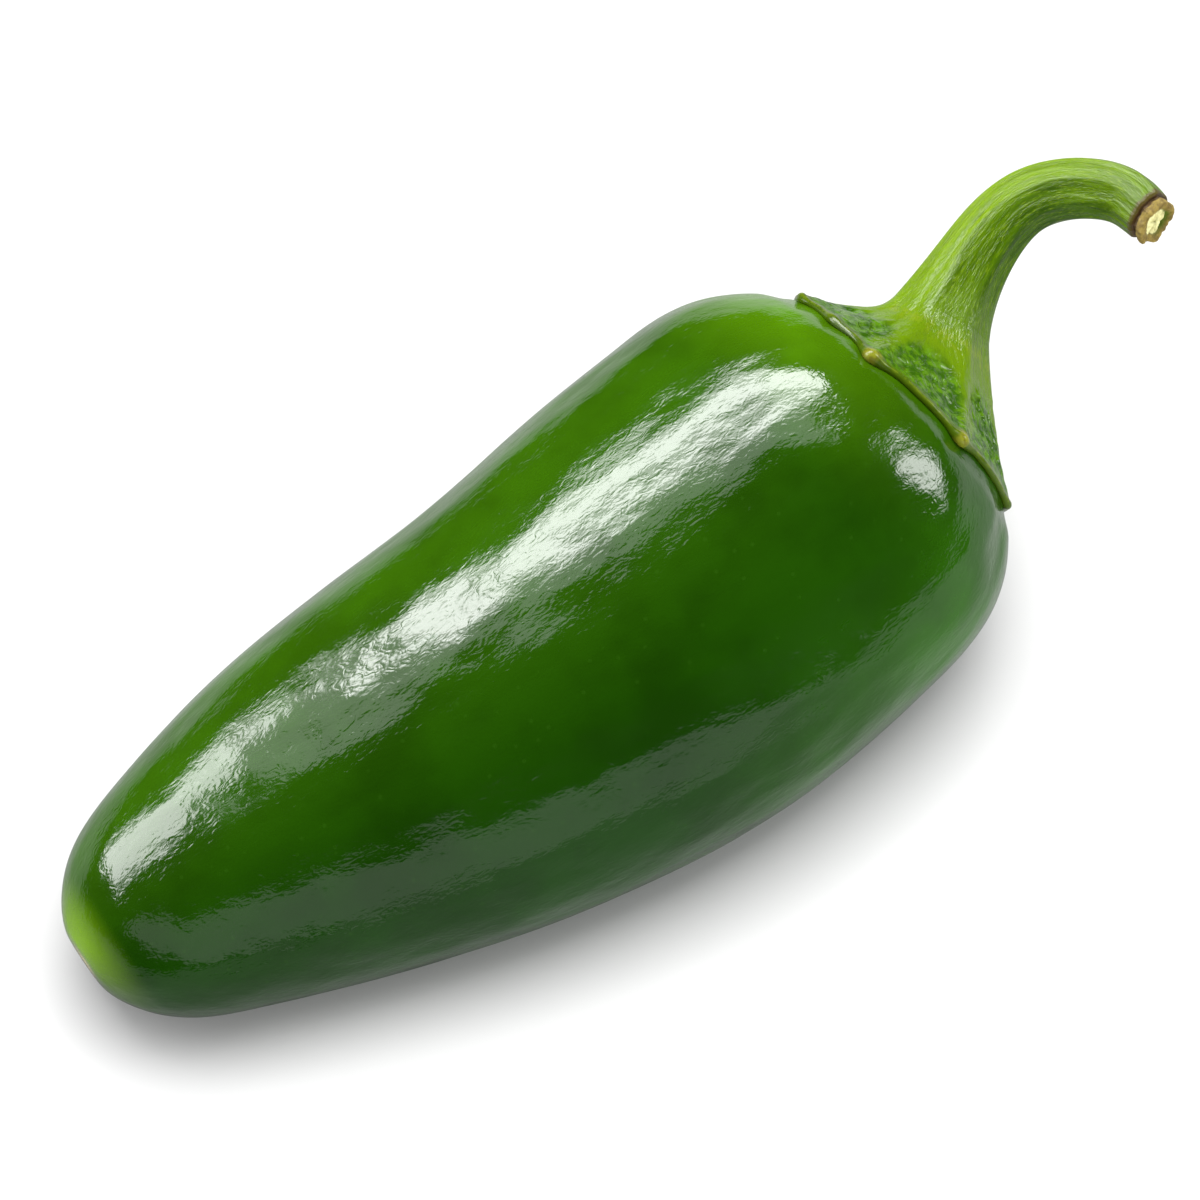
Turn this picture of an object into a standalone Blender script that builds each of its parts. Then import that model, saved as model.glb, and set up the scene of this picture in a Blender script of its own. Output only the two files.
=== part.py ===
# Chilli pepper, picked and lying on its side: the pod, the calyx that caps its shoulder, and the hooked stem.
# Metres, +Z up. The pod lies along X with its tip at -X. The origin is on the surface, under the middle of it all.

import math

import bmesh
import bpy
import numpy as np
from mathutils import Vector

# Pod
POD_LENGTH = 0.0791        # tip to crown, along X
POD_TIP = Vector((-0.0502, 0.0015, 0.01242))   # where the pod's middle line starts
POD_RISE = 0.094           # the middle line climbs this much for each metre, because the tip end is thinner
# fraction of the length, radius there
POD_PROFILE = [(0.0, 0.0), (0.04, 0.0067), (0.12, 0.0100), (0.24, 0.0129), (0.38, 0.0152), (0.52, 0.0166),
               (0.66, 0.0177), (0.78, 0.0176), (0.88, 0.0163), (0.95, 0.0117), (1.0, 0.0)]
# fraction of the length, sideways offset of the middle line
POD_BEND = [(0.0, 0.0), (0.25, -0.0004), (0.5, -0.0021), (0.75, -0.0011), (1.0, 0.0020)]
CROWN_TURN = (0.5, 0.95)   # stretch of the pod over which its rings turn to face along the calyx
LOBES = 3                  # faint lobes, one for each chamber
LOBE_DEPTH = 0.012         # share of the radius
LOBE_START = 1.0           # turn of the first lobe, radians
SEAT = (0.925, 0.943)      # stretch over which the pod dips to take the calyx
SEAT_DIP = 0.03            # share of the radius
SCAR_RADIUS = 0.0009       # dimple left by the flower at the tip
SCAR_DEPTH = 0.0004
POD_SIDES = 48
POD_RINGS = 40

# Calyx
CALYX_AXIS = Vector((0.9666, 0.1847, 0.1781)).normalized()
GAP = 0.0003               # clearance between touching pieces
RIM_AT = 0.959             # fraction of the pod's length under the rim where it is highest
RIM_DROP = 0.013           # how much lower it is on the other side, as a fraction of the pod's length
RIM_LOW = 108              # angle of its lowest place, degrees
RIM_THICK = 0.0004
# rolled edge: how far down the pod from the rim, as a fraction of its length, and share of the rim's thickness
RIM_ROLL = [(0.0035, 0.30), (0.0030, 0.80), (-0.0010, 1.0)]
SHOULDER_AT = 0.972        # where the calyx starts to lift off the pod towards the stem
FLARE_DROP = 0.0027        # how far below the neck the calyx starts to turn up into it
FLARE_SPREAD = 0.14        # how much wider than the neck it is there
UNDERSIDE = (0.04, 0.25, 0.5, 0.75, 1.0)   # rings of the underside, from the crown to the rim
UNDERSIDE_EASE = 1.6       # crowds those rings towards the crown
PATCH_THICK = 0.0004       # calyx between its ribs
# angle round the pod in degrees, size of the nub against the largest
NUBS = [(31, 1.0), (59, 0.5), (83, 1.0), (134, 1.0), (181, 0.9), (233, 1.0), (283, 0.8), (333, 1.0)]
NUB_WIDTH = 7.0            # degrees
NUB_REACH = 0.0045         # how far a nub runs down the pod, as a fraction of its length
NUB_LIFT = 0.0002
RIB_WIDTH = 13.0           # degrees
RIB_LIFT = 0.0004
CALYX_SIDES = 72
CALYX_ROWS = 9

# Stem: its middle line from the calyx to the cut end, measured from the centre of the calyx rim
RIM_CENTRE = POD_TIP + Vector((0.07587, 0.00133, 0.00715))
STEM_LINE = [(0.0058, 0.0032, 0.0016), (0.0085, 0.0046, 0.0024), (0.0121, 0.0061, 0.0035), (0.0157, 0.0067, 0.0045),
             (0.0187, 0.0058, 0.0052), (0.0208, 0.0041, 0.0059), (0.0221, 0.0020, 0.0065), (0.0224, -0.0003, 0.0070)]
# share of the stem's length, radius there
STEM_RADIUS = [(0.0, 0.00405), (0.10, 0.00345), (0.25, 0.00285), (0.45, 0.00250), (0.65, 0.00233),
               (0.85, 0.00220), (1.0, 0.00200)]
STEM_RIDGE = 0.07          # share of the radius that the ridges stand out
STEM_SIDES = 32
STEM_ROWS = 34
# past the end of the stem's skin: step along, radius as a share of the end's own
CUT_END = [(0.0002, 0.84), (0.0005, 0.86), (0.0008, 0.91), (0.0010, 0.86), (0.0010, 0.60), (0.0006, 0.50)]

# Surface that the pod lies on
FLOOR = Vector((0.0, 0.0, 0.0))


def smooth_through(pairs):
    """Natural cubic spline through (station, value) pairs; the values may be numbers or points."""
    x = np.array([p[0] for p in pairs])
    y = np.array([np.atleast_1d(p[1]) for p in pairs], float)
    count = len(x)
    step = np.diff(x)
    slope = np.diff(y, axis=0) / step[:, None]
    system = np.eye(count)
    wanted = np.zeros_like(y)
    for i in range(1, count - 1):
        system[i, i - 1:i + 2] = step[i - 1], 2 * (step[i - 1] + step[i]), step[i]
        wanted[i] = 6 * (slope[i] - slope[i - 1])
    curve = np.linalg.solve(system, wanted)

    def value(station):
        k = int(np.clip(np.searchsorted(x, station) - 1, 0, count - 2))
        before, after, h = station - x[k], x[k + 1] - station, step[k]
        point = (curve[k] * after ** 3 + curve[k + 1] * before ** 3) / (6 * h)
        point += (y[k] / h - curve[k] * h / 6) * after + (y[k + 1] / h - curve[k + 1] * h / 6) * before
        return point if len(point) > 1 else float(point[0])

    return value


def smoothstep(value, low, high):
    t = min(max((value - low) / (high - low), 0.0), 1.0)
    return t * t * (3 - 2 * t)


def bump(angle, centre, width):
    """A rounded bump of height 1 at an angle, all in degrees."""
    away = (angle - centre + 180) % 360 - 180
    return math.exp(-(away / width) ** 2)


def nub_height(angle, width):
    return max(size * bump(angle, centre, width) for centre, size in NUBS)


# The square of the radius is what runs smoothly, so both ends of the pod close round
radius_squared = smooth_through([(at, radius ** 2) for at, radius in POD_PROFILE])
side_bend = smooth_through(POD_BEND)
body_axis = Vector((1.0, 0.0, POD_RISE)).normalized()


def ring_axes(axis):
    across = Vector((0, 0, 1)).cross(axis).normalized()
    return across, axis.cross(across)


def pod_point(at, angle):
    """Point of the pod's surface, at a fraction of its length and an angle in degrees round it."""
    axis = body_axis.lerp(CALYX_AXIS, smoothstep(at, *CROWN_TURN)).normalized()
    across, over = ring_axes(axis)
    turn = math.radians(angle)
    radius = math.sqrt(max(radius_squared(at), 0.0))
    radius *= 1 + LOBE_DEPTH * math.sin(math.pi * at) * math.cos(LOBES * (turn - LOBE_START))
    radius *= 1 - SEAT_DIP * smoothstep(at, *SEAT)
    middle = POD_TIP + Vector((at * POD_LENGTH, side_bend(at), at * POD_LENGTH * POD_RISE))
    if at < 0.5:
        middle += axis * SCAR_DEPTH * math.exp(-(radius / SCAR_RADIUS) ** 2)
    return middle + radius * (math.cos(turn) * across + math.sin(turn) * over)


def above_pod(at, angle, height):
    """Point at a height over the pod's surface, along its normal."""
    along = pod_point(at + 0.002, angle) - pod_point(at - 0.002, angle)
    round_it = pod_point(at, angle + 2) - pod_point(at, angle - 2)
    return pod_point(at, angle) + height * round_it.cross(along).normalized()


def make_material(name, color, roughness, metallic=0.0):
    material = bpy.data.materials.new(name)
    material.use_nodes = True
    shader = material.node_tree.nodes["Principled BSDF"]
    shader.inputs["Base Color"].default_value = (*color, 1.0)
    shader.inputs["Roughness"].default_value = roughness
    shader.inputs["Metallic"].default_value = metallic
    return material


def add_part(name, bm, collection, material):
    bmesh.ops.recalc_face_normals(bm, faces=bm.faces)
    mesh = bpy.data.meshes.new(name)
    bm.to_mesh(mesh)
    bm.free()
    mesh.shade_smooth()
    mesh.materials.append(material)
    part = bpy.data.objects.new(name, mesh)
    collection.objects.link(part)
    return part


def loft(rings):
    """Closed body through rings of points, with a flat cap on the first and on the last."""
    bm = bmesh.new()
    rows = [[bm.verts.new(point) for point in ring] for ring in rings]
    for low, high in zip(rows, rows[1:]):
        for i in range(len(low)):
            j = (i + 1) % len(low)
            bm.faces.new((low[i], low[j], high[j], high[i]))
    bm.faces.new(list(reversed(rows[0])))
    bm.faces.new(rows[-1])
    return bm


def make_pod(collection):
    # A UV sphere drawn out along the middle line, its height on the sphere giving the place along the pod
    bm = bmesh.new()
    bmesh.ops.create_uvsphere(bm, u_segments=POD_SIDES, v_segments=POD_RINGS, radius=1.0)
    for vert in bm.verts:
        at = (1 + vert.co.z) / 2
        vert.co = pod_point(at, math.degrees(math.atan2(vert.co.y, vert.co.x)))
    # The pod's weight rests on a small flat spot
    bmesh.ops.bisect_plane(bm, geom=bm.verts[:] + bm.edges[:] + bm.faces[:], dist=1e-6,
                           plane_co=FLOOR, plane_no=(0, 0, -1), clear_outer=True)
    bmesh.ops.holes_fill(bm, edges=[edge for edge in bm.edges if edge.is_boundary])
    return add_part("pod", bm, collection, make_material("pod skin", (0.035, 0.13, 0.012), 0.22))


stem_line = smooth_through([(i / (len(STEM_LINE) - 1), point) for i, point in enumerate(STEM_LINE)])
stem_radius = smooth_through(STEM_RADIUS)


def stem_frames(count):
    """Places along the stem: centre, direction and the two axes of its section, carried along without twist."""
    frames = []
    over = ring_axes(CALYX_AXIS)[1]
    for i in range(count):
        at = i / (count - 1)
        direction = Vector(stem_line(min(at + 0.01, 1.0)) - stem_line(max(at - 0.01, 0.0))).normalized()
        across = over.cross(direction).normalized()
        over = direction.cross(across)
        frames.append((at, RIM_CENTRE + Vector(stem_line(at)), direction, across, over))
    return frames


def stem_ring(frame, radius, count, ridge=STEM_RIDGE):
    at, centre, direction, across, over = frame
    points = []
    for i in range(count):
        angle = 360 * i / count
        turn = math.radians(angle)
        spread = radius * (1 + ridge * (nub_height(angle, RIB_WIDTH) - 0.5))
        points.append(centre + spread * (math.cos(turn) * across + math.sin(turn) * over))
    return points


def rim_at(angle):
    """Fraction of the pod's length under the calyx rim, at an angle in degrees."""
    lean = 0.5 + 0.5 * math.cos(math.radians(angle - RIM_LOW))
    return RIM_AT - RIM_DROP * lean - NUB_REACH * nub_height(angle, NUB_WIDTH)


def make_calyx(collection):
    neck = stem_frames(STEM_ROWS)[0]
    angles = [360 * i / CALYX_SIDES for i in range(CALYX_SIDES)]
    rim = [rim_at(angle) for angle in angles]
    # Underside, from the crown out to the rim, a clearance above the pod
    rings = []
    for share in UNDERSIDE:
        rings.append([above_pod(1 - (1 - edge) * share ** UNDERSIDE_EASE, angle, GAP) for angle, edge in zip(angles, rim)])
    # Rolled edge, with a nub at the end of each rib
    for back, height in RIM_ROLL:
        rings.append([above_pod(edge - back, angle, GAP + height * (RIM_THICK + NUB_LIFT * nub_height(angle, NUB_WIDTH)))
                      for angle, edge in zip(angles, rim)])
    # Top, sweeping in over the shoulder and up to the neck that carries the stem
    neck_ring = stem_ring(neck, stem_radius(0.0), CALYX_SIDES)
    below_neck = [point - neck[2] * FLARE_DROP + (point - neck[1]) * FLARE_SPREAD for point in neck_ring]
    for row in range(1, CALYX_ROWS + 1):
        s = row / CALYX_ROWS
        ring = []
        for angle, edge, near_neck, top in zip(angles, rim, below_neck, neck_ring):
            start = above_pod(edge + 0.004, angle, GAP + PATCH_THICK)
            shoulder = above_pod(SHOULDER_AT, angle, GAP + PATCH_THICK)
            point = ((1 - s) ** 3 * start + 3 * (1 - s) ** 2 * s * shoulder
                     + 3 * (1 - s) * s ** 2 * near_neck + s ** 3 * top)
            rib = RIB_LIFT * nub_height(angle, RIB_WIDTH) * math.sin(math.pi * s)
            ring.append(point + rib * CALYX_AXIS)
        rings.append(ring)
    return add_part("calyx", loft(rings), collection, make_material("calyx skin", (0.09, 0.20, 0.02), 0.45))


def make_stem(collection):
    frames = stem_frames(STEM_ROWS)
    rings = []
    for i, frame in enumerate(frames):
        clear = frame[2] * GAP if i == 0 else Vector((0, 0, 0))
        rings.append([point + clear for point in stem_ring(frame, stem_radius(frame[0]), STEM_SIDES)])
    # Corky ring round the cut, and the pith sunk inside it
    at, centre, direction, across, over = frames[-1]
    end_radius = stem_radius(1.0)
    for step, share in CUT_END:
        cut = (at, centre + direction * step, direction, across, over)
        rings.append(stem_ring(cut, end_radius * share, STEM_SIDES, STEM_RIDGE * share / 2))
    return add_part("stem", loft(rings), collection, make_material("stem skin", (0.20, 0.36, 0.03), 0.40))


def main():
    for item in list(bpy.data.objects):
        bpy.data.objects.remove(item, do_unlink=True)
    collection = bpy.data.collections.new("chilli pepper")
    bpy.context.scene.collection.children.link(collection)
    make_pod(collection)
    make_calyx(collection)
    make_stem(collection)


main()
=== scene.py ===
import math

import bpy
import numpy as np
from mathutils import Matrix, Vector, noise


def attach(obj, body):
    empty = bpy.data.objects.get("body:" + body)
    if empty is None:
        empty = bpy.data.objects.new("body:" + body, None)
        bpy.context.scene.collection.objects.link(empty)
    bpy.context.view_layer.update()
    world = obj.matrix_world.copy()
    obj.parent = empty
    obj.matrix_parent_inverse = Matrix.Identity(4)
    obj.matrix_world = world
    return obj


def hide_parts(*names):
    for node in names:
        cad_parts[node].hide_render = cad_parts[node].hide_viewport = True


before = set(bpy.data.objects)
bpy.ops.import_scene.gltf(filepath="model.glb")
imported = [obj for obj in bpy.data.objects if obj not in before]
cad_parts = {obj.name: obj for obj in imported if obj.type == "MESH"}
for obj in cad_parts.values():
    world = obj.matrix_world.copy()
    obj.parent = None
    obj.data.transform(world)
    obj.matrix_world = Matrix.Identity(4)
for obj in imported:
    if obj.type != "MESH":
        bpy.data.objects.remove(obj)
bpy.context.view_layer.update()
print("frame loaded:", ", ".join(sorted(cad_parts)))


def deselectAll():
    bpy.ops.object.select_all(action="DESELECT")


def unit(vectors):
    return vectors / np.maximum(np.linalg.norm(vectors, axis=-1, keepdims=True), 1e-12)


def smoothStep(value, low, high):
    t = np.clip((value - low) / (high - low), 0.0, 1.0)
    return t * t * (3 - 2 * t)


def smoothThrough(pairs):
    # natural cubic spline through (station, value) pairs, for whole arrays of stations
    x = np.array([pair[0] for pair in pairs], float)
    y = np.array([np.atleast_1d(pair[1]) for pair in pairs], float)
    step = np.diff(x)
    slope = np.diff(y, axis=0) / step[:, None]
    system, wanted = np.eye(len(x)), np.zeros_like(y)
    for i in range(1, len(x) - 1):
        system[i, i - 1:i + 2] = step[i - 1], 2 * (step[i - 1] + step[i]), step[i]
        wanted[i] = 6 * (slope[i] - slope[i - 1])
    curve = np.linalg.solve(system, wanted)

    def value(station):
        station = np.asarray(station, float)
        k = np.clip(np.searchsorted(x, station) - 1, 0, len(x) - 2)
        before, after = (station - x[k])[..., None], (x[k + 1] - station)[..., None]
        h = step[k][..., None]
        found = (curve[k] * after ** 3 + curve[k + 1] * before ** 3) / (6 * h)
        found += (y[k] / h - curve[k] * h / 6) * after + (y[k + 1] / h - curve[k + 1] * h / 6) * before
        return found if y.shape[1] > 1 else found[..., 0]

    return value


def bump(angle, centre, width):
    # rounded bump of height 1 at an angle, all in degrees
    away = (angle - centre + 180) % 360 - 180
    return np.exp(-(away / width) ** 2)


def noiseAt(points, size, seed=0.0):
    # smooth noise from -1 to 1 whose features are about that size; size may differ along each axis
    scaled = points / np.asarray(size) + seed
    return np.array([noise.noise(point) for point in scaled])


def getPoints(piece):
    points = np.empty(len(piece.data.vertices) * 3)
    piece.data.vertices.foreach_get("co", points)
    return points.reshape(-1, 3)


def setPoints(piece, points):
    piece.data.vertices.foreach_set("co", np.asarray(points, float).ravel())
    piece.data.update()


def getNormals(piece):
    normals = np.empty(len(piece.data.vertices) * 3, np.float32)
    piece.data.vertex_normals.foreach_get("vector", normals)
    return normals.reshape(-1, 3).astype(float)


def setAttribute(piece, name, values):
    # a number or a vector for each vertex, which the materials read
    values = np.asarray(values, np.float32)
    kind, field = ("FLOAT_VECTOR", "vector") if values.ndim > 1 else ("FLOAT", "value")
    made = piece.data.attributes.new(name, kind, "POINT")
    made.data.foreach_set(field, values.ravel())


def getAttribute(piece, name):
    found = piece.data.attributes[name]
    values = np.empty(len(found.data), np.float32)
    found.data.foreach_get("value", values)
    return values.astype(float)


def addGrid(name, around, along):
    # flat grid with x and y from 0 to 1, to be rolled up by moving its vertices
    deselectAll()
    bpy.ops.mesh.primitive_grid_add(x_subdivisions=around, y_subdivisions=along, size=1.0)
    piece = bpy.context.object
    piece.name = piece.data.name = name
    points = getPoints(piece)
    return piece, points[:, 0] + 0.5, points[:, 1] + 0.5


def closeUp(piece, mergeWithin=1e-6):
    # merges the rolled grid's seam and its pinched ends, and turns the faces outwards
    deselectAll()
    piece.select_set(True)
    bpy.context.view_layer.objects.active = piece
    bpy.ops.object.mode_set(mode="EDIT")
    bpy.ops.mesh.select_all(action="SELECT")
    bpy.ops.mesh.remove_doubles(threshold=mergeWithin)
    bpy.ops.mesh.normals_make_consistent(inside=False)
    bpy.ops.object.mode_set(mode="OBJECT")
    piece.data.shade_smooth()


pieces = []


def finishPiece(piece, material, node):
    piece.data.materials.clear()
    piece.data.materials.append(material)
    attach(piece, "root")
    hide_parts(node)
    pieces.append(piece)
    print(piece.name, "made:", len(piece.data.polygons), "faces")


# The pod's own form, the frame's with its tip bent 0.6 mm further to the side
pod = {
    "length": 0.0791,                       # tip to crown, along X
    "tip": (-0.0502, 0.0015, 0.01242),      # where the pod's middle line starts
    "rise": 0.094,                          # the middle line climbs this much for each metre
    "profile": [(0.0, 0.0), (0.04, 0.0067), (0.12, 0.0100), (0.24, 0.0129), (0.38, 0.0152), (0.52, 0.0166),
                (0.66, 0.0177), (0.78, 0.0176), (0.88, 0.0163), (0.95, 0.0117), (1.0, 0.0)],
    "bend": [(0.0, 0.0006), (0.25, -0.0004), (0.5, -0.0021), (0.75, -0.0011), (1.0, 0.0020)],
    "crownTurn": (0.5, 0.95),               # stretch over which the rings turn to face along the calyx
    "lobes": 3, "lobeDepth": 0.012, "lobeStart": 1.0,
    "seat": (0.928, 0.943), "seatDip": 0.03,
    "scarRadius": 0.0017, "scarDepth": 0.0006,
    "segments": 320, "rings": 290,
    # share of the length, angle round in degrees, length and width of a shallow dent, its depth
    "dents": [(0.285, 80, 0.0034, 0.0032, 0.00018), (0.41, 94, 0.0085, 0.0042, 0.00026),
              (0.86, 56, 0.0060, 0.0045, 0.00018), (0.915, 166, 0.0030, 0.0016, 0.00022)],
    # length, width and height of the skin's unevenness
    "waves": [(0.011, 0.006, 0.00007), (0.0042, 0.0022, 0.000030)],
    "wavesFade": ((0.0, 0.02), (0.93, 0.95)),   # shares over which the unevenness comes in and goes out
}

calyxAxis = unit(np.array([0.9666, 0.1847, 0.1781]))
bodyAxis = unit(np.array([1.0, 0.0, pod["rise"]]))
podTip = np.array(pod["tip"])
upwards = np.array([0.0, 0.0, 1.0])
radiusSquared = smoothThrough([(at, radius ** 2) for at, radius in pod["profile"]])
sideBend = smoothThrough(pod["bend"])


def ringAxes(axis):
    across = unit(np.cross(upwards, axis))
    return across, np.cross(axis, across)


def podPoint(at, angle):
    # points of the pod's surface, at shares of its length and angles in degrees round it
    at, angle = np.broadcast_arrays(np.asarray(at, float), np.asarray(angle, float))
    turned = smoothStep(at, *pod["crownTurn"])[..., None]
    axis = unit(bodyAxis * (1 - turned) + calyxAxis * turned)
    across, over = ringAxes(axis)
    turn = np.radians(angle)
    radius = np.sqrt(np.maximum(radiusSquared(at), 0.0))
    lobe = pod["lobeDepth"] * np.sin(np.pi * at) * np.cos(pod["lobes"] * (turn - pod["lobeStart"]))
    radius = radius * (1 + lobe)
    radius = radius * (1 - pod["seatDip"] * smoothStep(at, *pod["seat"]))
    middle = podTip + np.stack([at * pod["length"], sideBend(at), at * pod["length"] * pod["rise"]], -1)
    scar = np.where(at < 0.5, pod["scarDepth"] * np.exp(-(radius / pod["scarRadius"]) ** 2), 0.0)
    radius, turn = radius[..., None], turn[..., None]
    return middle + axis * scar[..., None] + radius * (np.cos(turn) * across + np.sin(turn) * over)


def podSlopes(at, angle):
    # the pod's outward normal and the direction down towards its tip
    along = unit(podPoint(at + 0.002, angle) - podPoint(at - 0.002, angle))
    roundIt = podPoint(at, angle + 2) - podPoint(at, angle - 2)
    return unit(np.cross(roundIt, along)), -along


def abovePod(at, angle, height):
    normal, down = podSlopes(at, angle)
    return podPoint(at, angle) + np.asarray(height)[..., None] * normal


calyx = {
    "gap": -0.00006,                        # the rim's edge is pressed into the pod by this much
    # angle round in degrees, share of the pod's length under the rim
    "rim": [(0, 0.956), (20, 0.954), (40, 0.9500), (65, 0.9465), (85, 0.9445), (105, 0.9455), (125, 0.9470),
            (143, 0.9490), (160, 0.9495), (180, 0.9490), (230, 0.954), (290, 0.958), (340, 0.955)],
    # shares of the grid at which the underside, the rolled edge and the top end
    "underTo": 0.05, "beadTo": 0.21, "topTo": 0.94,
    "crown": 0.9985,                        # share of the pod's length at which the underside closes
    # angle round in degrees, swelling, how far it reaches down the pod
    "nubs": [(40, 0.55, 0.0025), (65, 0.50, 0.0025), (88, 1.00, 0.0085), (131, 0.95, 0.0050),
             (178, 0.40, 0.0025), (233, 0.9, 0.005), (283, 0.8, 0.004), (333, 0.9, 0.005)],
    "nubWidth": 4.0, "reachWidth": 6.5,
    "beadRadius": 0.00026, "nubSwell": 0.00026,
    "patchThick": 0.00014, "shoulderAt": 0.978,
    # angle round in degrees and size of the ribs that run up into the stem
    "ribs": [(31, 1.0), (59, 0.5), (83, 1.0), (134, 1.0), (181, 0.9), (233, 1.0), (283, 0.8), (333, 1.0)],
    "ribWidth": 13.0, "ribLift": 0.0004,
    "flareDrop": 0.0024, "flareSpread": 0.20,
    "plugTo": 0.08, "plugInset": 0.0004,    # how far it runs up inside the stem, and how far in from its skin
    "crinkle": 0.00013, "crinkleSize": 0.0014, "fineSize": 0.0006, "lumpSize": 0.0008,
    "radius": 11.0,                         # its own radius in mm, for the folds' widths
    # raised folds: angle and share of the way up where each starts and ends, its width and height in mm
    "folds": [(150, 0.52, 163, 0.16, 0.20, 0.20), (112, 0.30, 122, 0.10, 0.16, 0.10),
              (98, 0.34, 106, 0.12, 0.15, 0.09), (66, 0.30, 76, 0.10, 0.16, 0.10),
              (170, 0.45, 174, 0.15, 0.18, 0.14)],
    "around": 480, "along": 170,
}

stem = {
    # middle line from the calyx to the cut end, measured from the centre of the calyx rim
    "rimCentre": (0.07587, 0.00133, 0.00715),
    "line": [(0.0058, 0.0032, 0.0016), (0.0085, 0.0046, 0.0024), (0.0121, 0.0061, 0.0035),
             (0.0157, 0.0067, 0.0045), (0.0187, 0.0058, 0.0052), (0.0208, 0.0041, 0.0059),
             (0.0221, 0.0020, 0.0065), (0.0224, -0.0003, 0.0070)],
    "radius": [(0.0, 0.00405), (0.10, 0.00345), (0.25, 0.00285), (0.45, 0.00250), (0.65, 0.00233),
               (0.85, 0.00220), (1.0, 0.00200)],
    "ridge": 0.07,                          # share of the radius that the ridges stand out
    # height of the fine ridges and knots, size across and along the fibres in mm, seed
    "knots": [(0.00007, 0.9, 9.0, 2.2), (0.00004, 0.4, 3.0, 7.7)],
    # past the end of the skin: step along, radius as a share of the end's own
    "cut": [(0.0, 1.0), (0.00015, 0.96), (0.0002, 0.85), (0.0004, 0.84), (0.0005, 0.90), (0.0008, 0.92),
            (0.0011, 0.88), (0.0012, 0.80), (0.0011, 0.66), (0.0010, 0.56), (0.0009, 0.50), (0.0009, 0.30),
            (0.0009, 0.0)],
    "around": 256, "along": 300, "cutRows": 72,
    "footTo": 0.05, "sink": 0.0012,         # share of the grid that runs down inside the calyx, and how far
    "paintedLightFrom": (-0.21, 0.93, 0.26),             # the side that is painted lighter and yellower, a painted light from the lamps
    "askew": ((-0.834, -0.165, -0.245), 0.14),     # the side of the cut that lies further on, and its slope
    # the sunk crescent in the cut end: angle round and its width in degrees, share of the radius and
    # its width in hundredths, depth
    "crescent": (300, 55, 56, 10, 0.00035),
}


def ribHeight(angle, width):
    return np.max([size * bump(angle, centre, width) for centre, size in calyx["ribs"]], axis=0)


def nubHeight(angle, width):
    return np.max([size * bump(angle, centre, width) for centre, size, reach in calyx["nubs"]], axis=0)


def nubReach(angle):
    width = calyx["reachWidth"]
    return np.max([reach * bump(angle, centre, width) for centre, size, reach in calyx["nubs"]], axis=0)


# the rim's curve runs on past both ends of the circle, so that it closes smoothly
rimCurve = smoothThrough([(angle + 360 * lap, share) for lap in (-1, 0, 1) for angle, share in calyx["rim"]])
stemLine = smoothThrough([(i / (len(stem["line"]) - 1), point) for i, point in enumerate(stem["line"])])
stemRadius = smoothThrough(stem["radius"])
rimCentre = podTip + np.array(stem["rimCentre"])


def stemFrames(count):
    # centre, direction and two cross axes at even steps along the stem, carried along without twist
    at = np.linspace(0.0, 1.0, count)
    centre = rimCentre + stemLine(at)
    direction = unit(stemLine(np.minimum(at + 0.01, 1.0)) - stemLine(np.maximum(at - 0.01, 0.0)))
    across, over = np.empty_like(centre), np.empty_like(centre)
    carried = ringAxes(calyxAxis)[1]
    for i in range(count):
        across[i] = unit(np.cross(carried, direction[i]))
        carried = over[i] = np.cross(direction[i], across[i])
    return at, centre, direction, across, over


frameAt, frameCentre, frameDirection, frameAcross, frameOver = stemFrames(400)


def framesAt(at):
    pick = lambda table: np.stack([np.interp(at, frameAt, table[:, k]) for k in range(3)], -1)
    return pick(frameCentre), unit(pick(frameDirection)), unit(pick(frameAcross)), unit(pick(frameOver))


def stemPoint(at, angle, radius, ahead=0.0):
    centre, direction, across, over = framesAt(at)
    turn = np.radians(angle)[..., None]
    ring = np.cos(turn) * across + np.sin(turn) * over
    return centre + direction * np.asarray(ahead)[..., None] + np.asarray(radius)[..., None] * ring


def ridgedRadius(at, angle):
    return stemRadius(at) * (1 + stem["ridge"] * (ribHeight(angle, calyx["ribWidth"]) - 0.5))


class Signal:
    # wraps a shader socket, so that maths on it reads as an expression
    def __init__(self, finish, socket):
        self.finish, self.socket = finish, socket

    def combine(self, operation, first, second=0.0):
        return self.finish.node("ShaderNodeMath", {"operation": operation}, {0: first, 1: second})

    def __add__(self, other):
        return self.combine("ADD", self, other)

    def __sub__(self, other):
        return self.combine("SUBTRACT", self, other)

    def __rsub__(self, other):
        return self.combine("SUBTRACT", other, self)

    def __mul__(self, other):
        return self.combine("MULTIPLY", self, other)

    def __abs__(self):
        return self.combine("ABSOLUTE", self)

    __radd__, __rmul__ = __add__, __mul__


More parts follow.
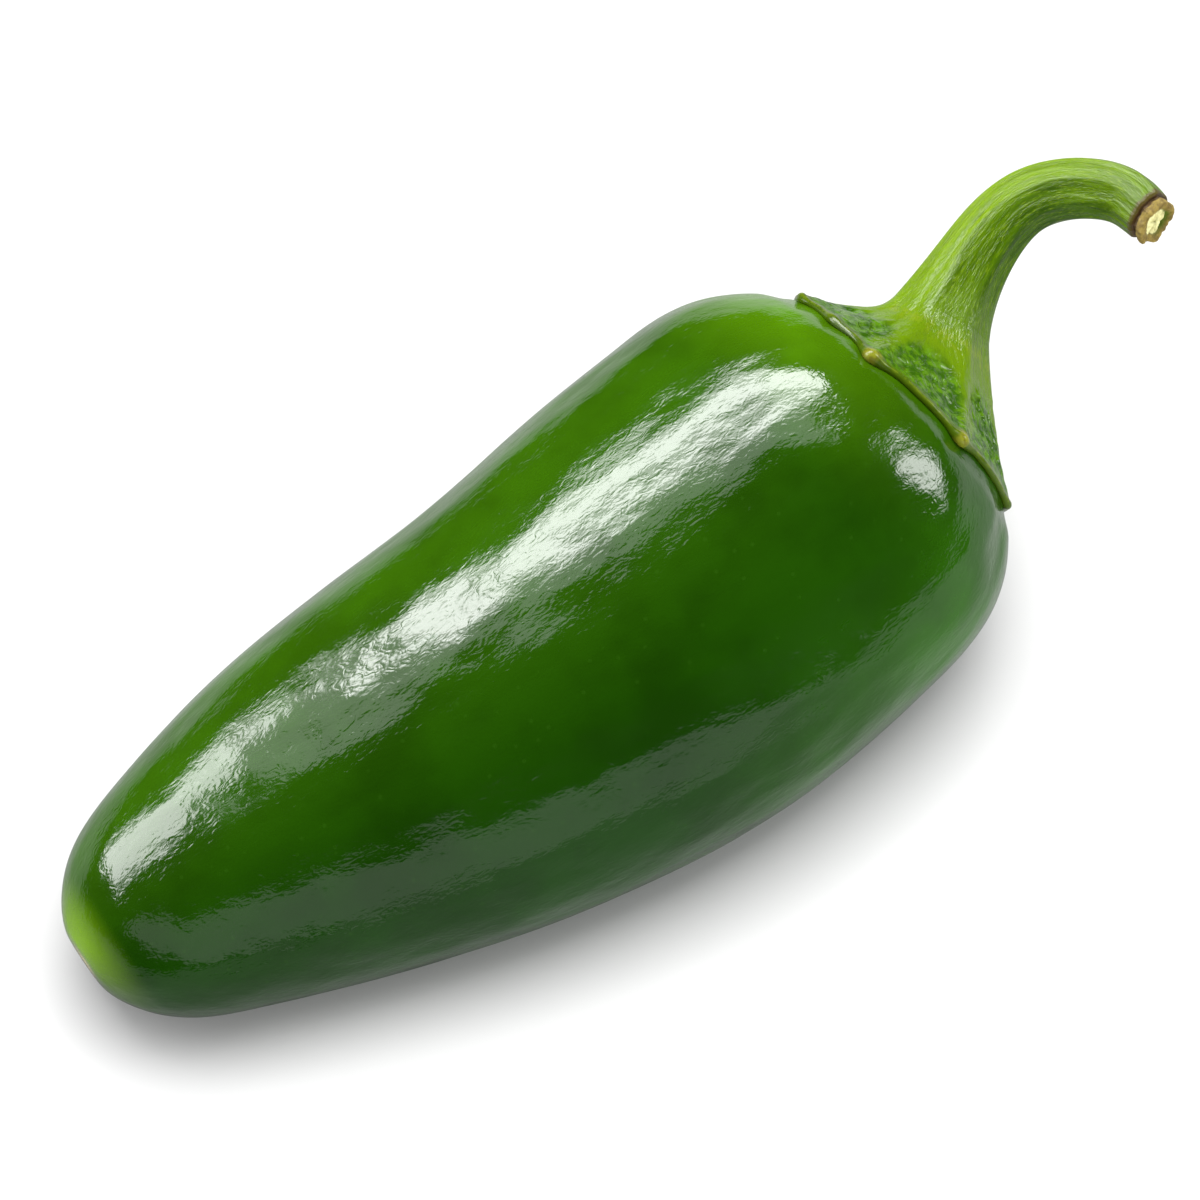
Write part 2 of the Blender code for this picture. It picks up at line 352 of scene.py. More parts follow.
class Finish:
    def __init__(self, owner):
        owner.use_nodes = True
        self.owner, self.tree = owner, owner.node_tree
        self.tree.nodes.clear()

    def node(self, kind, settings, sockets, output=0):
        made = self.tree.nodes.new(kind)
        for key, value in settings.items():
            setattr(made, key, value)
        for key, value in sockets.items():
            if isinstance(value, Signal):
                self.tree.links.new(value.socket, made.inputs[key])
            else:
                made.inputs[key].default_value = value
        return Signal(self, made.outputs[output]) if made.outputs else None

    def attribute(self, name, output="Fac"):
        return self.node("ShaderNodeAttribute", {"attribute_name": name}, {}, output)

    def along(self, place, direction):
        settings = {"operation": "DOT_PRODUCT"}
        return self.node("ShaderNodeVectorMath", settings, {0: place, 1: direction}, "Value")

    def stretched(self, vector, stretch, turn=(0.0, 0.0, 0.0)):
        # a pattern on the result is longer along an axis by that much
        return self.node("ShaderNodeMapping", {"vector_type": "TEXTURE"},
                         {"Vector": vector, "Rotation": turn, "Scale": stretch})

    def noise(self, vector, size, detail=2.0, roughness=0.5, distortion=0.0):
        return self.node("ShaderNodeTexNoise", {}, {"Vector": vector, "Scale": 1 / size, "Detail": detail,
                                                   "Roughness": roughness, "Distortion": distortion})

    def cells(self, vector, size):
        return self.node("ShaderNodeTexVoronoi", {}, {"Vector": vector, "Scale": 1 / size})

    def between(self, value, low, high):
        # 0 below low, 1 above high
        return self.node("ShaderNodeMapRange", {"interpolation_type": "SMOOTHSTEP"},
                         {"Value": value, "From Min": low, "From Max": high})

    def mix(self, mask, first, second):
        settings = {"data_type": "RGBA"}
        pads = [value if isinstance(value, Signal) else (*value, 1.0) for value in (first, second)]
        return self.node("ShaderNodeMix", settings, {0: mask, 6: pads[0], 7: pads[1]}, 2)

    def relief(self, height, unitSize=0.001):
        # height in millimetres
        return self.node("ShaderNodeBump", {}, {"Height": height, "Strength": 1.0, "Distance": unitSize})

    def surface(self, sockets):
        shader = self.node("ShaderNodeBsdfPrincipled", {}, sockets)
        self.node("ShaderNodeOutputMaterial", {}, {"Surface": shader})
        return self.owner


camera = {
    "place": (-0.11725, -0.15335, 0.47547),
    "aim": (-0.00178, 0.00371, 0.01491),
    # along the table: to the right in the picture, and away from the camera
    "rightwards": (0.8268, -0.5626, 0.0), "away": (0.5625, 0.8268, 0.0),
    "lens": 196.4,
}


def placed(centre, back, right):
    # places a camera or a lamp that looks away from its back, with its width along the right
    back, right = Vector(back).normalized(), Vector(right)
    right = (right - back * right.dot(back)).normalized()
    turn = Matrix((right, back.cross(right), back)).transposed()
    return Matrix.Translation(centre) @ turn.to_4x4()


def makeCamera():
    place, aim = Vector(camera["place"]), Vector(camera["aim"])
    deselectAll()
    bpy.ops.object.camera_add()
    made = bpy.context.object
    made.matrix_world = placed(place, place - aim, camera["rightwards"])
    made.data.lens = camera["lens"]
    made.data.clip_start, made.data.clip_end = 0.01, 20.0
    bpy.context.scene.camera = made


makeCamera()
print("camera placed")

studio = {
    "floorSize": 6.0,
    "sheetRadius": 0.13, "sheetCentre": (0.01, -0.03),   # the part of the floor that the skin mirrors
    "floorColor": (0.80, 0.80, 0.80),
    # how white the skin sees the floor, in its reflections only: in front of the pepper, behind it and to its
    # right; a painted shade in the reflection, darkest in front
    "paintedShadeInShine": {"front": (0.25, 0.25, 0.25), "back": (0.40, 0.40, 0.40), "right": (0.45, 0.45, 0.45)},
    "backFrom": (-0.02, 0.03), "rightFrom": (0.03, 0.07),     # where one white goes over into the next
    "fill": 0.20,                           # soft light from all round
    # each panel's middle, the way it faces, the way its width runs, width and height, brightness,
    # the group that it lights, and whether it shows in the shine there
    "panels": {
        "keyBar": {"centre": (0.179, 0.302, 0.383), "facing": (-0.087, -0.640, -0.766),
            "widthways": (0.992, -0.126, 0.0), "size": (0.60, 0.14), "radiance": 9.5,
            "lights": "pepper", "shines": True},
        "keySoft": {"centre": (0.180, 0.310, 0.390), "facing": (-0.087, -0.640, -0.766),
            "widthways": (0.992, -0.126, 0.0), "size": (0.63, 0.27), "radiance": 5.8,
            "lights": "pepper", "shines": True},
        "tipLamp": {"centre": (-0.352, 0.382, 0.270), "facing": (0.567, -0.728, -0.385),
            "widthways": (0.597, 0.125, 0.793), "size": (0.29, 0.36), "radiance": 7.4,
            "lights": "pepper", "shines": True},
        "tipSoft": {"centre": (-0.358, 0.389, 0.272), "facing": (0.567, -0.728, -0.385),
            "widthways": (0.597, 0.125, 0.793), "size": (0.33, 0.48), "radiance": 3.2,
            "lights": "pepper", "shines": True},
        "keyHalo": {"centre": (0.05, 0.29, 0.43), "facing": (-0.087, -0.57, -0.82),
            "widthways": (0.992, -0.126, 0.0), "size": (0.68, 0.48), "radiance": 2.1,
            "lights": "pepper", "shines": True},
        "sideLamp": {"centre": (0.454, -0.1325, 0.163), "facing": (-0.908, 0.265, -0.326),
            "widthways": (0.28, 0.96, 0.0), "size": (0.12, 0.14), "radiance": 6.5,
            "lights": "pepper", "shines": True},
        "sideHalo": {"centre": (0.463, -0.135, 0.166), "facing": (-0.908, 0.265, -0.326),
            "widthways": (0.28, 0.96, 0.0), "size": (0.19, 0.22), "radiance": 3.4,
            "lights": "pepper", "shines": True},
        "frontCard": {"centre": (-0.426, -0.438, 0.177), "facing": (0.444, 0.887, -0.166),
            "widthways": (0.793, -0.470, -0.388), "size": (1.6, 0.30), "radiance": 0.74,
            "lights": "pepper", "shines": True},
        "frontFill": {"centre": (-0.08, -0.54, 0.12), "facing": (0.14, 0.96, -0.21),
            "widthways": (1.0, -0.15, 0.0), "size": (0.80, 0.40), "radiance": 7.5,
            "lights": "pepper", "shines": False},
        "rightFill": {"centre": (0.50, -0.18, 0.26), "facing": (-0.87, 0.31, -0.40),
            "widthways": (0.31, 0.95, 0.0), "size": (0.40, 0.40), "radiance": 3.0,
            "lights": "pepper", "shines": False},
        "tableSpot": {"centre": (-0.02, -0.03, 1.0), "facing": (0.02, 0.03, -1.0),
            "widthways": (1.0, 0.0, 0.0), "size": (0.44, 0.44), "radiance": 9.9,
            "lights": "table", "shines": True},
        "tableDome": {"centre": (-0.02, -0.03, 1.0), "facing": (0.02, 0.03, -1.0),
            "widthways": (1.0, 0.0, 0.0), "size": (1.4, 1.4), "radiance": 1.30,
            "lights": "table", "shines": True},
    },
}


def makeFloor():
    finish = Finish(bpy.data.materials.new("white sheet"))
    place = finish.node("ShaderNodeTexCoord", {}, {}, "Object")
    across, away = finish.along(place, camera["rightwards"]), finish.along(place, camera["away"])
    whites = studio["paintedShadeInShine"]
    # painted shade in the reflections: the floor shows these darker whites only to the skin's shine, darkest
    # in front of the pepper
    paintedShadeInShine = finish.mix(finish.between(away, *studio["backFrom"]), whites["front"], whites["back"])
    paintedShadeInShine = finish.mix(finish.between(across, *studio["rightFrom"]), paintedShadeInShine, whites["right"])
    inSkin = finish.node("ShaderNodeLightPath", {}, {}, "Is Glossy Ray")
    white = finish.mix(inSkin, studio["floorColor"], paintedShadeInShine)
    paper = finish.surface({"Base Color": white, "Roughness": 0.9, "Specular IOR Level": 0.0})
    x, y = studio["sheetCentre"]
    deselectAll()
    circle = {"vertices": 256, "radius": studio["sheetRadius"], "location": (x, y, 0)}
    bpy.ops.mesh.primitive_circle_add(fill_type="NGON", **circle)
    sheet = bpy.context.object
    sheet.name = "sheet"
    deselectAll()
    # the rest of the floor has a hole for the sheet
    bpy.ops.mesh.primitive_circle_add(fill_type="NOTHING", **circle)
    floor = bpy.context.object
    floor.name = "floor"
    bpy.ops.object.mode_set(mode="EDIT")
    bpy.ops.mesh.select_all(action="SELECT")
    bpy.ops.mesh.extrude_edges_move()
    grow = studio["floorSize"] / 2 / studio["sheetRadius"]
    bpy.ops.transform.resize(value=(grow, grow, 1), center_override=(x, y, 0))
    bpy.ops.object.mode_set(mode="OBJECT")
    floor.visible_glossy = False
    for item in (sheet, floor):
        item.data.materials.append(paper)
    return sheet, floor


def makeLights():
    # each group of panels lights only its own things: the table's shade and the skin's shine are set apart
    lit = {name: bpy.data.collections.new(name) for name in ("pepper", "table", "shading")}
    for name, wish in studio["panels"].items():
        width, height = wish["size"]
        deselectAll()
        bpy.ops.object.light_add(type="AREA")
        panel = bpy.context.object
        panel.name = name
        panel.data.shape = "RECTANGLE"
        panel.data.size, panel.data.size_y = width, height
        panel.data.energy = 4 * width * height * wish["radiance"]
        panel.matrix_world = placed(wish["centre"], -Vector(wish["facing"]), wish["widthways"])
        panel.visible_camera, panel.visible_glossy = False, wish["shines"]
        panel.light_linking.receiver_collection = lit[wish["lights"]]
        if wish["lights"] == "table":
            panel.light_linking.blocker_collection = lit["shading"]
    return lit


def makeSurroundings():
    world = bpy.data.worlds.new("studio")
    bpy.context.scene.world = world
    finish = Finish(world)
    seen = finish.node("ShaderNodeLightPath", {}, {}, "Is Camera Ray")
    soft = finish.node("ShaderNodeLightPath", {}, {}, "Is Diffuse Ray")
    strength = seen + soft * studio["fill"]
    glow = finish.node("ShaderNodeBackground", {}, {"Color": (1.0, 1.0, 1.0, 1.0), "Strength": strength})
    finish.node("ShaderNodeOutputWorld", {}, {"Surface": glow})
    bpy.context.scene.view_settings.view_transform = "Standard"


stage = makeFloor()
lit = makeLights()
makeSurroundings()
for item in stage:
    lit["table"].objects.link(item)
print("studio set up")

podSkin = {
    # painted light: the bright green is the top side painted as lit by the lamps, over the deep green of the
    # flank
    "deep": (0.0024, 0.0180, 0.0002), "paintedLitGreen": (0.0120, 0.0415, 0.0004),
    # painted light: the crown and sole greens paint light falling on the crown and on the front flank near
    # the shoulder
    "crown": (0.0340, 0.094, 0.0006), "paintedLitSole": (0.010, 0.046, 0.0012),
    "clouds": 0.010, "cloud": (0.84, 1.16),     # size of the broad clouds, how much they darken and brighten
    "specks": (0.0014, 0.1),                    # how far apart the pale specks stand, and how much they show
    # the tip's green is partly its own tint and partly a painted glow of light through the flesh
    "tipTintAndPaintedGlow": (0.110, 0.215, 0.003), "scarTan": (0.24, 0.22, 0.12), "speckGreen": (0.022, 0.070, 0.006),
    # size across and height in mm of the fine marks along the pod, the crinkles and the broad facets
    "strokes": (0.00026, 0.017), "strokeStretch": 2.6,
    "crinkles": (0.0006, 0.034),
    "facets": (0.0015, 0.085), "swells": (0.0034, 0.28),
    "roughness": (0.08, 0.15),
    # where each tint lies: from one share of the pod's length to another, and round an angle,
    # with the width of that stretch, in degrees
    # painted light: the sunny side is the top side painted lighter where the lamps fall
    "paintedLitSide": (38, 62),
    # painted light: the crown and the front flank near the shoulder are painted lighter
    "paintedLitCrownFrom": (0.80, 0.93), "paintedLitCrownSide": (50, 55),
    "paintedLitSoleFrom": (0.50, 0.85), "paintedLitSoleSide": (170, 35),
    # painted glow at the tip, partly the tip's own tint
    "glow": 0.9, "glowTo": 0.042, "glowSide": (78, 75),
    "scarTo": (0.0008, 0.0032),
}


def makePodSkin():
    finish = Finish(bpy.data.materials.new("pod skin"))
    place = finish.node("ShaderNodeTexCoord", {}, {}, "Object")
    tilt = (0.0, -math.atan(pod["rise"]), 0.0)
    along = finish.stretched(place, (podSkin["strokeStretch"], 1.0, 1.0), tilt)
    strokeSize, strokeHeight = podSkin["strokes"]
    crinkleSize, crinkleHeight = podSkin["crinkles"]
    facetSize, facetHeight = podSkin["facets"]
    swellSize, swellHeight = podSkin["swells"]
    strokes = finish.noise(along, strokeSize, 1.5, 0.55)
    crinkles = finish.noise(finish.stretched(place, (1.6, 1.0, 1.0), tilt), crinkleSize, 1.0, 0.5, 0.8)
    crinkles = abs(crinkles - 0.5)
    facets = finish.noise(finish.stretched(place, (1.8, 1.0, 1.0), tilt), facetSize, 1.0, 0.4)
    swells = finish.noise(finish.stretched(place, (1.6, 1.0, 1.0), tilt), swellSize, 0.0)
    height = strokes * strokeHeight + crinkles * crinkleHeight + facets * facetHeight + swells * swellHeight
    normal = finish.relief(height)
    # greens: yellower on top and deep on the flank, where the top is painted light, with a painted lighter
    # front flank and crown, broad clouds, faint pale specks, a yellower tip that is partly painted glow, and
    # the blossom end's scar
    color = finish.mix(finish.attribute("paintedLit"), podSkin["deep"], podSkin["paintedLitGreen"])
    # painted light on the front flank towards the shoulder
    color = finish.mix(finish.attribute("paintedLitSole"), color, podSkin["paintedLitSole"])
    # painted light on the crown
    color = finish.mix(finish.attribute("crown"), color, podSkin["crown"])
    clouds = finish.between(finish.noise(place, podSkin["clouds"], 3.0, 0.6), 0.35, 0.65)
    dark, light = podSkin["cloud"]
    shade = clouds * (light - dark) + dark
    color = finish.node("ShaderNodeVectorMath", {"operation": "SCALE"}, {0: color, "Scale": shade})
    apart, shown = podSkin["specks"]
    specks = (1 - finish.between(finish.cells(place, apart), 0.06, 0.16)) * shown
    color = finish.mix(specks, color, podSkin["speckGreen"])
    # a yellower tip: partly its own tint, partly a painted glow of light through the flesh
    color = finish.mix(finish.attribute("glow"), color, podSkin["tipTintAndPaintedGlow"])
    color = finish.mix(finish.attribute("scar"), color, podSkin["scarTan"])
    smooth, rough = podSkin["roughness"]
    roughness = finish.noise(along, 0.002, 2.0, 0.6) * (rough - smooth) + smooth
    return finish.surface({"Base Color": color, "Roughness": roughness, "IOR": 1.46, "Normal": normal})


def makePod():
    deselectAll()
    bpy.ops.mesh.primitive_uv_sphere_add(segments=pod["segments"], ring_count=pod["rings"], radius=1.0)
    piece = bpy.context.object
    piece.name = piece.data.name = "pod_skin"
    ball = getPoints(piece)
    at, angle = (1 + ball[:, 2]) / 2, np.degrees(np.arctan2(ball[:, 1], ball[:, 0]))
    points = podPoint(at, angle)
    setPoints(piece, points)
    piece.data.shade_smooth()
    normals = getNormals(piece)
    # uneven skin, fading towards the two ends
    lift = np.zeros(len(points))
    for seed, (length, width, height) in enumerate(pod["waves"]):
        lift += height * noiseAt(points, (length, width, width), 3.7 * seed)
    for share, turn, length, width, depth in pod["dents"]:
        centre = podPoint(share, turn)
        away = points - centre
        down = away @ bodyAxis
        aside = np.linalg.norm(away - down[:, None] * bodyAxis, axis=1)
        lift -= depth * np.exp(-(down / length) ** 2 - (aside / width) ** 2)
    comeIn, goOut = pod["wavesFade"]
    points = points + normals * (lift * smoothStep(at, *comeIn) * (1 - smoothStep(at, *goOut)))[:, None]
    points[:, 2] = np.maximum(points[:, 2], 0.0)      # the small flat spot that it rests on
    setPoints(piece, points)
    look = podSkin
    # the tip's painted glow, with its own tint, on the side towards the top
    towardsTip = 1 - smoothStep(at, 0.0, look["glowTo"])
    setAttribute(piece, "glow", look["glow"] * towardsTip * bump(angle, *look["glowSide"]))
    setAttribute(piece, "scar", 1 - smoothStep(at, *look["scarTo"]))
    # painted light: the top side painted lighter
    setAttribute(piece, "paintedLit", bump(angle, *look["paintedLitSide"]))
    # painted light: the crown and the front flank painted lighter
    setAttribute(piece, "crown", smoothStep(at, *look["paintedLitCrownFrom"]) * bump(angle, *look["paintedLitCrownSide"]))
    setAttribute(piece, "paintedLitSole", smoothStep(at, *look["paintedLitSoleFrom"]) * bump(angle, *look["paintedLitSoleSide"]))
    finishPiece(piece, makePodSkin(), "pod")


makePod()

# The calyx and the stem share their flesh
flesh = {
    "stemGreen": (0.026, 0.060, 0.0003), "stemShade": (0.011, 0.031, 0.0002),
    # painted light: the sunny stem green is the side facing the lamps painted lighter
    "stemPaintedLit": (0.082, 0.140, 0.0006), "stemPale": (0.12, 0.18, 0.005),
    "flareGreen": (0.056, 0.104, 0.0008),
    "patchGreen": (0.040, 0.098, 0.002), "patchShade": (0.014, 0.045, 0.001),
    "rimGreen": (0.025, 0.048, 0.001), "rimPale": (0.095, 0.125, 0.005),
    "nubTan": (0.120, 0.128, 0.010), "nubBrown": (0.05, 0.035, 0.004),
    "cork": (0.15, 0.110, 0.024), "corkDark": (0.040, 0.022, 0.007), "pith": (0.42, 0.41, 0.20),
    "hollow": (0.060, 0.090, 0.008),
    # millimetres: the cylinder that the fibres are drawn on, and their length on the calyx
    "fibreRadius": 3.0, "flareLength": 9.0,
}


def paintedLitSide(piece):
    # painted light: the side that faces the lamps is painted yellower
    return smoothStep(getNormals(piece) @ unit(np.array(stem["paintedLightFrom"])), -0.45, 1.0)


def stemColor(finish, fibre):
    # long fibres: pale and dark streaks that follow the stem, in millimetres
    long = finish.stretched(fibre, (1.0, 1.0, 8.0))
    short = finish.stretched(fibre, (1.0, 1.0, 5.0))
    bands = finish.between(finish.noise(long, 0.8, 2.0, 0.6), 0.34, 0.66)
    streaks = finish.between(finish.noise(short, 0.14, 2.0, 0.6), 0.53, 0.72)
    color = finish.mix(bands, flesh["stemShade"], flesh["stemGreen"])
    # painted light: the side that faces the lamps is painted a lighter, yellower green
    color = finish.mix(finish.attribute("paintedLit") * (bands * 0.3 + 0.7), color, flesh["stemPaintedLit"])
    return finish.mix(streaks * 0.4, color, flesh["stemPale"])


def fibreHeight(finish, fibre):
    fine = finish.noise(finish.stretched(fibre, (1.0, 1.0, 4.5)), 0.14, 2.0, 0.55, 0.6)
    coarse = finish.noise(finish.stretched(fibre, (1.0, 1.0, 6.0)), 0.6, 1.0, 0.5, 0.5)
    return fine * 0.085 + coarse * 0.12


def makeCalyxSkin():
    finish = Finish(bpy.data.materials.new("calyx skin"))
    place = finish.node("ShaderNodeTexCoord", {}, {}, "Object")
    fibre = finish.attribute("fibre", "Vector")
    flare, rib, rim, nub, crest = (finish.attribute(name) for name in ("flare", "rib", "rim", "nub", "crest"))
    mottle = finish.between(finish.noise(place, 0.0009, 3.0, 0.6), 0.4, 0.62)
    color = finish.mix(mottle, flesh["patchShade"], flesh["patchGreen"])
    color = finish.mix(finish.between(rib + mottle * 0.2, 0.45, 1.15) * 0.8, color, flesh["flareGreen"])
    upper = finish.mix(finish.attribute("foot"), stemColor(finish, fibre), flesh["flareGreen"])
    color = finish.mix(flare, color, upper)
    color = finish.mix(rim, color, flesh["rimGreen"])
    # paler in patches along the top of the rolled edge
    crestPatches = finish.between(finish.noise(place, 0.0006, 2.0, 0.6), 0.40, 0.60)
    color = finish.mix(crest * crestPatches * 0.45, color, flesh["rimPale"])
    brown = finish.between(finish.noise(place, 0.0005, 2.0, 0.5), 0.5, 0.62)
    color = finish.mix(nub * 0.85, color, finish.mix(brown * 0.5, flesh["nubTan"], flesh["nubBrown"]))
    veins = abs(finish.noise(place, 0.0017, 1.0, 0.5, 1.6) - 0.5)
    patch = (1 - flare) * (1 - rim)
    height = fibreHeight(finish, fibre) * flare + patch * veins * 0.34
    return finish.surface({"Base Color": color, "Roughness": 0.20, "IOR": 1.45, "Specular IOR Level": 0.3,
                           "Normal": finish.relief(height)})


def makeCalyx():
    piece, u, v = addGrid("calyx_skin", calyx["around"], calyx["along"])
    angle = u * 360
    nub = nubHeight(angle, calyx["nubWidth"])
    edge = rimCurve(angle) - nubReach(angle)
    beadRadius = calyx["beadRadius"] + calyx["nubSwell"] * nub
    underTo, beadTo, topTo = calyx["underTo"], calyx["beadTo"], calyx["topTo"]
    # underside, from the crown out to the rim
    share = np.clip(v / underTo, 0.0, 1.0)
    underAt = np.minimum(1 - (1 - edge) * share ** 1.6, calyx["crown"])
    under = abovePod(underAt, angle, np.full_like(v, 0.00002))
    # rolled edge, turning from under the rim to its top
    firstRoll, lastRoll = -90, 135
    normal, down = podSlopes(edge, angle)
    rollBy = np.clip((v - underTo) / (beadTo - underTo), 0.0, 1.0)
    roll = np.radians(firstRoll + (lastRoll - firstRoll) * rollBy)[:, None]
    centre = podPoint(edge, angle) + normal * (calyx["gap"] + beadRadius)[:, None]
    bead = centre + beadRadius[:, None] * (np.cos(roll) * down + np.sin(roll) * normal)
    # top, sweeping in over the shoulder and up to the neck that carries the stem
    s = np.clip((v - beadTo) / (topTo - beadTo), 0.0, 1.0)[:, None]
    endRoll = math.radians(lastRoll)
    start = centre + beadRadius[:, None] * (math.cos(endRoll) * down + math.sin(endRoll) * normal)
    shoulder = abovePod(np.full_like(v, calyx["shoulderAt"]), angle, np.full_like(v, calyx["patchThick"]))
    zero = np.zeros_like(v)
    neck = stemPoint(zero, angle, ridgedRadius(zero, angle))
    neckCentre, neckDirection = framesAt(zero)[:2]
    nearNeck = neck - neckDirection * calyx["flareDrop"] + (neck - neckCentre) * calyx["flareSpread"]
    top = (1 - s) ** 3 * start + 3 * (1 - s) ** 2 * s * shoulder
    top = top + 3 * (1 - s) * s ** 2 * nearNeck + s ** 3 * neck
    s = s[:, 0]
    ribs = ribHeight(angle, calyx["ribWidth"] * (0.45 + 0.55 * s))
    top += (calyx["ribLift"] * ribs * np.sin(np.pi * s))[:, None] * calyxAxis
    # past the neck it runs on just inside the stem and closes there
    inside = np.clip((v - topTo) / (1 - topTo), 0.0, 1.0)
    endAt = calyx["plugTo"] * np.minimum(inside * 2, 1.0)
    endRadius = ridgedRadius(endAt, angle) - calyx["plugInset"] * smoothStep(inside, 0.0, 0.5)
    end = stemPoint(endAt, angle, endRadius * (1 - np.clip(inside * 2 - 1, 0.0, 1.0)))
    points = np.where((v < topTo)[:, None], top, end)
    points = np.where((v < beadTo)[:, None], bead, points)
    points = np.where((v < underTo)[:, None], under, points)
    points[v < 1e-6] = podPoint(np.array(calyx["crown"]), np.array(0.0))
    setPoints(piece, points)
    turn = np.radians(angle)
    reach, flareLength = flesh["fibreRadius"], flesh["flareLength"]
    drop = s * flareLength + inside * 1.0
    fibre = np.stack([reach * np.cos(turn), reach * np.sin(turn), drop - flareLength], -1)
    setAttribute(piece, "fibre", fibre)
    setAttribute(piece, "flare", smoothStep(s + 0.22 * (ribs - 0.5), 0.32, 0.54))
    setAttribute(piece, "foot", 0.9 - 0.5 * smoothStep(s, 0.55, 1.0))
    setAttribute(piece, "rib", ribs * smoothStep(s, 0.0, 0.1))
    setAttribute(piece, "rim", 1 - smoothStep(s, 0.0, 0.05))
    rolled = lastRoll - firstRoll
    setAttribute(piece, "crest", bump(np.where(s > 0, rolled + 400 * s, rolled * rollBy), 175, 40))
    setAttribute(piece, "nub", smoothStep(nub, 0.45, 0.85) * (1 - smoothStep(s, 0.0, 0.05)))
    setAttribute(piece, "patch", (1 - smoothStep(s, 0.45, 0.7)) * smoothStep(s, 0.0, 0.08) * (1 - 0.6 * ribs))
    # raised folds between the ribs
    aside = calyx["radius"] * (1 - s * 0.5)
    fold = np.zeros_like(v)
    for startAngle, startShare, endAngle, endShare, width, height in calyx["folds"]:
        run = np.clip((s - endShare) / (startShare - endShare), 0.0, 1.0)
        line = endAngle + (startAngle - endAngle) * run
        away = np.radians((angle - line + 180) % 360 - 180) * aside
        past = (np.abs(s - (endShare + (startShare - endShare) * run))) * 7.0
        fold += height * np.exp(-(away ** 2 + past ** 2) / width ** 2)
    setAttribute(piece, "fold", fold)
    closeUp(piece)
    # painted light on the side that faces the lamps
    setAttribute(piece, "paintedLit", paintedLitSide(piece))
    points, normals = getPoints(piece), getNormals(piece)
    crinkles = 1 - 2 * np.abs(noiseAt(points, calyx["crinkleSize"], 5.1))
    crinkles = crinkles + 0.15 * noiseAt(points, calyx["fineSize"], 9.3)
    lump = noiseAt(points, calyx["lumpSize"], 1.3)
    patch, bare, fold = (getAttribute(piece, name) for name in ("patch", "rim", "fold"))
    lift = calyx["crinkle"] * (patch * (crinkles - 0.5) * 1.4 + bare * 0.25 * lump) + fold * 0.001
    points += normals * lift[:, None]
    setPoints(piece, points)
    finishPiece(piece, makeCalyxSkin(), "calyx")


makeCalyx()


def makeStemSkin():
    finish = Finish(bpy.data.materials.new("stem skin"))
    place = finish.node("ShaderNodeTexCoord", {}, {}, "Object")
    fibre = finish.attribute("fibre", "Vector")
    names = ("scorch", "groove", "cork", "pith", "hollow")
    scorch, groove, cork, pith, hollow = (finish.attribute(name) for name in names)
    color = finish.mix(finish.attribute("foot"), stemColor(finish, fibre), flesh["flareGreen"])
    grain = finish.between(finish.noise(place, 0.0005, 3.0, 0.6), 0.4, 0.62)
    color = finish.mix(finish.between(scorch + grain * 0.3, 0.4, 1.0) * 0.8, color, flesh["corkDark"])
    color = finish.mix(cork, color, finish.mix(grain * 0.55, flesh["cork"], flesh["corkDark"]))
    color = finish.mix(groove, color, flesh["corkDark"])
    color = finish.mix(pith, color, finish.mix(grain * 0.35, flesh["pith"], flesh["cork"]))
    color = finish.mix(hollow, color, flesh["hollow"])
    roughness = 0.21 + cork * 0.4 + pith * 0.4
    height = fibreHeight(finish, fibre) * (1 - pith) + finish.noise(place, 0.0003, 2.0) * 0.15 * (cork + pith)
    return finish.surface({"Base Color": color, "Roughness": roughness, "IOR": 1.45,
                           "Specular IOR Level": 0.22, "Normal": finish.relief(height)})


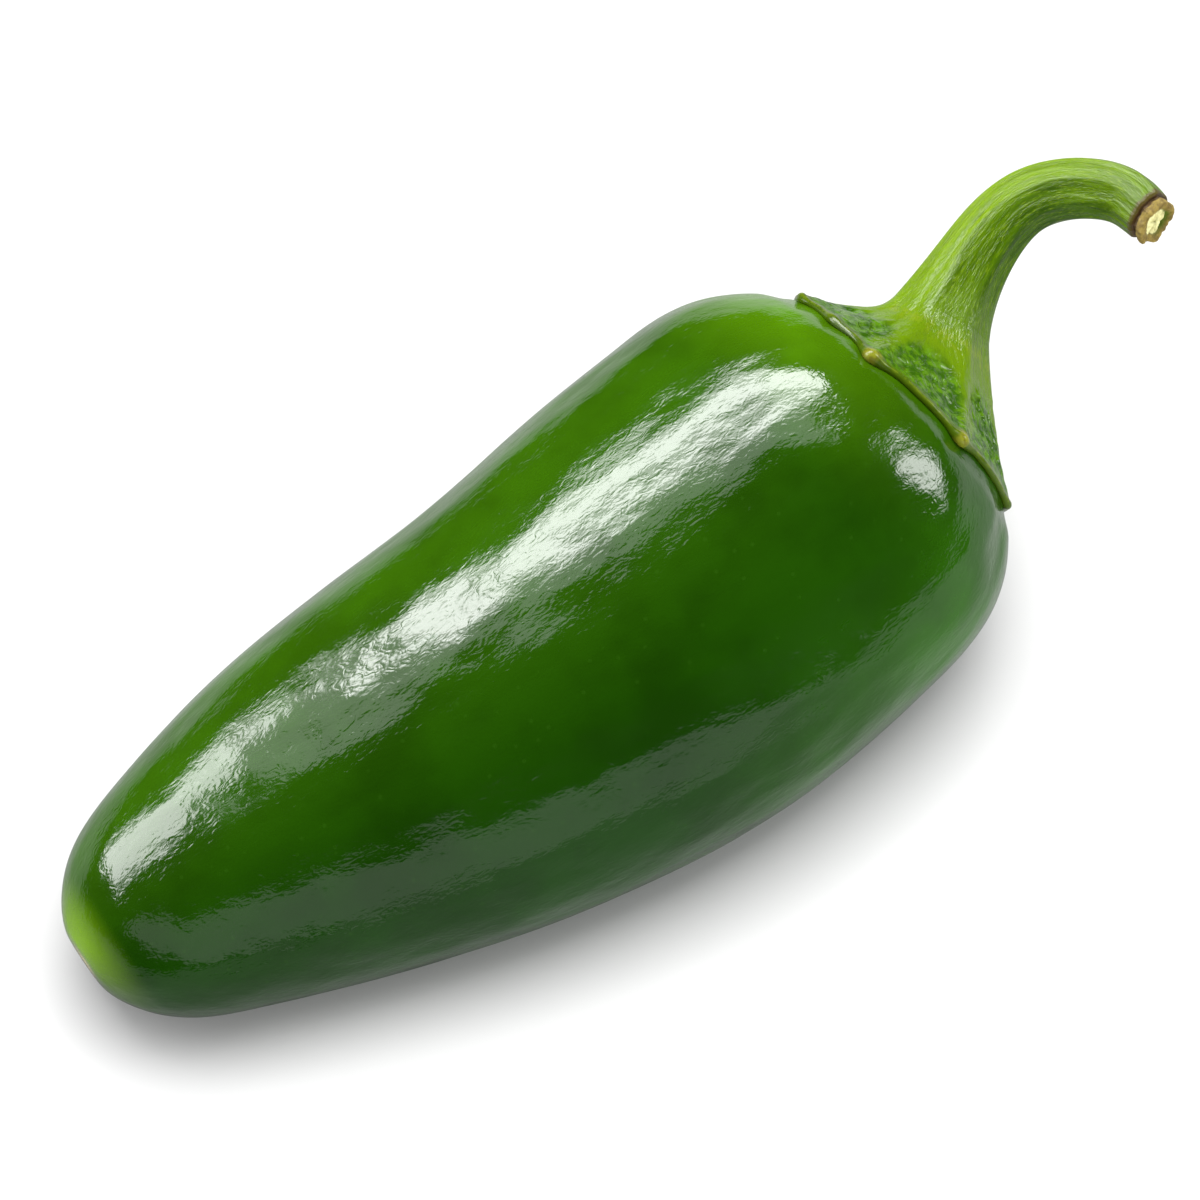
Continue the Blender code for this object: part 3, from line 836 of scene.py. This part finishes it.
def makeStem():
    piece, u, v = addGrid("stem_skin", stem["around"], stem["along"] + stem["cutRows"])
    angle = u * 360
    skinTo = stem["along"] / (stem["along"] + stem["cutRows"])
    run = np.clip(v / skinTo, 0.0, 1.0)
    footTo = stem["footTo"]
    at = np.clip((run - footTo) / (1 - footTo), 0.0, 1.0)
    below = np.clip(1 - run / footTo, 0.0, 1.0)
    radius = ridgedRadius(at, angle)
    turn = np.radians(angle)
    reach = flesh["fibreRadius"]
    stemLength = np.sum(np.linalg.norm(np.diff(frameCentre, axis=0), axis=1))
    fibre = np.stack([reach * np.cos(turn), reach * np.sin(turn), at * stemLength * 1000 - below], -1)
    # fine ridges and knots, along the fibres
    for height, width, length, seed in stem["knots"]:
        radius += height * noiseAt(fibre, (width, width, length), seed) * smoothStep(at, 0.0, 0.05)
    side, slope = stem["askew"]
    away = (stemPoint(at, angle, radius) - framesAt(at)[0]) @ unit(np.array(side))
    lean = away * slope * smoothStep(at, 0.8, 1.0)
    closed = np.where(v < 1e-6, 0.0, 1.0)
    skin = stemPoint(at, angle, radius * (1 - 0.25 * below) * closed, lean - stem["sink"] * below)
    # the cut end
    past = np.clip((v - skinTo) / (1 - skinTo), 0.0, 1.0)
    steps = np.linspace(0, 1, len(stem["cut"]))
    ahead = np.interp(past, steps, [pair[0] for pair in stem["cut"]])
    shares = np.interp(past, steps, [pair[1] for pair in stem["cut"]])
    onCut = smoothStep(past, 0.10, 0.25)
    rough = noiseAt(fibre + past[:, None] * (0.0, 0.0, 3.0), 0.6, 4.4)
    ragged = noiseAt(fibre, 1.6, 8.8)
    side, sideWidth, out, outWidth, depth = stem["crescent"]
    crescent = bump(angle, side, sideWidth) * bump(shares * 100, out, outWidth)
    ahead = ahead + lean * shares - depth * crescent + (0.00010 * rough + 0.00018 * ragged) * onCut
    spread = radius * shares * (1 + (0.03 * rough + 0.05 * ragged) * onCut)
    cut = stemPoint(np.ones_like(v), angle, spread, ahead)
    points = np.where((v <= skinTo)[:, None], skin, cut)
    setPoints(piece, points)
    setAttribute(piece, "fibre", fibre)
    setAttribute(piece, "foot", 0.4 * (1 - smoothStep(at, 0.0, 0.25)))
    setAttribute(piece, "scorch", smoothStep(at, 0.965, 1.0))
    setAttribute(piece, "groove", smoothStep(past, 0.05, 0.12) * (1 - smoothStep(past, 0.26, 0.36)))
    setAttribute(piece, "cork", smoothStep(past, 0.15, 0.3) * (1 - smoothStep(past, 0.72, 0.80)))
    setAttribute(piece, "pith", smoothStep(past, 0.72, 0.80))
    setAttribute(piece, "hollow", np.clip(crescent * 1.4, 0, 1))
    closeUp(piece)
    # painted light on the side that faces the lamps
    setAttribute(piece, "paintedLit", paintedLitSide(piece))
    finishPiece(piece, makeStemSkin(), "stem")


makeStem()

for piece in pieces:
    lit["pepper"].objects.link(piece)
    if piece.name == "pod_skin":
        lit["shading"].objects.link(piece)
